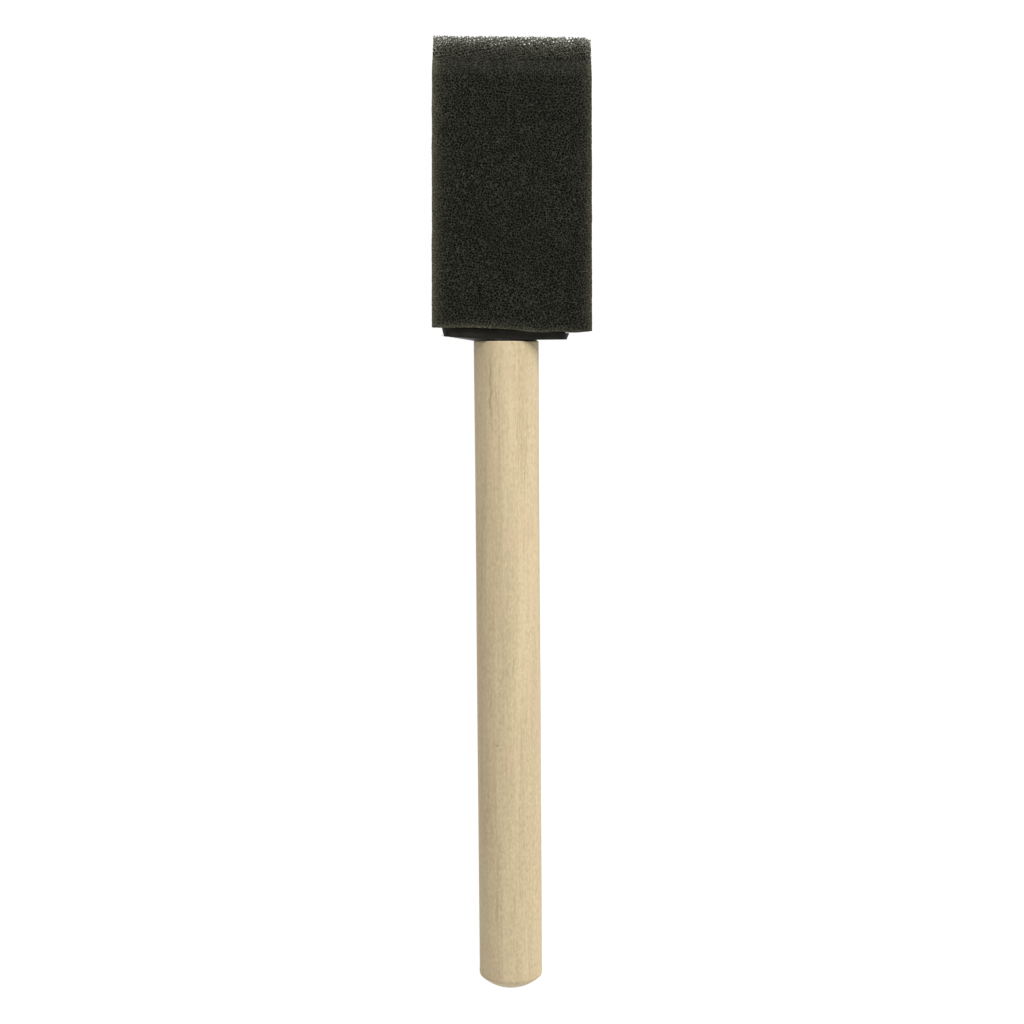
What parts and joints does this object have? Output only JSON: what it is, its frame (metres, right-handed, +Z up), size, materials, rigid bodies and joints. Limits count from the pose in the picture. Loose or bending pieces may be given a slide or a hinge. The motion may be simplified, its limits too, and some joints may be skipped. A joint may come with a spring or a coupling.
{
  "type": "foam sponge brush",
  "caption": "Small foam paint brush: a bevelled charcoal foam block on a black plastic core with a round wooden handle. The foam's free tip bends both ways and springs back.",
  "frame": {"origin": "under the centre of the brush's box, on the surface the brush lies on, with its broad foam face down", "axes": "+Z up from the broad foam face, +Y along the foam towards the painting edge, +X across the foam's width"},
  "size_m": [0.025, 0.1532, 0.012],
  "materials": {
    "wood": "matte",
    "plastic": "satin",
    "foam": "matte",
    "glue": "satin"
  },
  "bodies": {
    "handle_and_head": {"handle_dowel": "wood", "core": "plastic", "foam_head": "foam", "foam_glue": "glue", "socket_glue": "glue"},
    "flexing_tip": {"foam_tip": "foam"}
  },
  "joints": [
    {"name": "tip_flex", "type": "hinge", "parent": "handle_and_head", "child": "flexing_tip", "pos_m": [0, 0.06756, 0.006], "axis": [1, 0, 0], "range_deg": [-45, 45], "stiffness_Nm_per_rad": 0.02}
  ]
}
